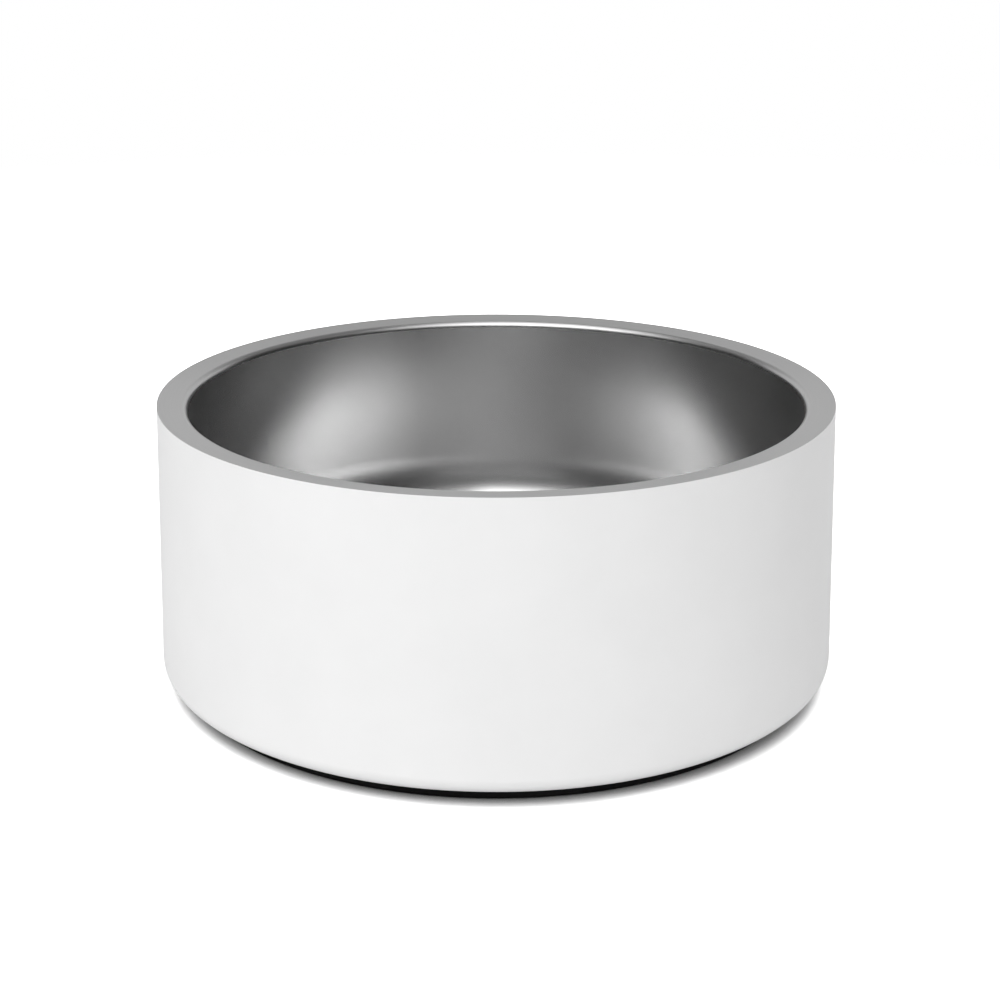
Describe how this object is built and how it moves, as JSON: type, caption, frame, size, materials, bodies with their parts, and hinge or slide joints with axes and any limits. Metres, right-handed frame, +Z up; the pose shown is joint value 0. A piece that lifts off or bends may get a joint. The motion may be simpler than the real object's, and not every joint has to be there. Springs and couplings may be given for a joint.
{
  "type": "pet bowl",
  "caption": "Round double-walled pet bowl with a bright steel food side and rim, a white coated outer wall and a black non-slip rubber foot.",
  "frame": {"origin": "on the bowl's axis, in the plane of the surface that it stands on", "axes": "+Z up along the bowl's axis; the bowl is round, so +X and +Y are alike"},
  "size_m": [0.1796, 0.1796, 0.0762],
  "materials": {
    "liner_steel": "satin, brushed round the axis",
    "white_coating": "fine powder coat, half matt",
    "base_steel": "mill finish, pressed",
    "adhesive": "foam-like, matt",
    "foot_rubber": "moulded, matt"
  },
  "bodies": {
    "root": {"inner_bowl": "liner_steel", "outer_shell": "white_coating", "base_plate": "base_steel", "adhesive_ring": "adhesive", "rubber_foot": "foot_rubber"}
  },
  "joints": []
}
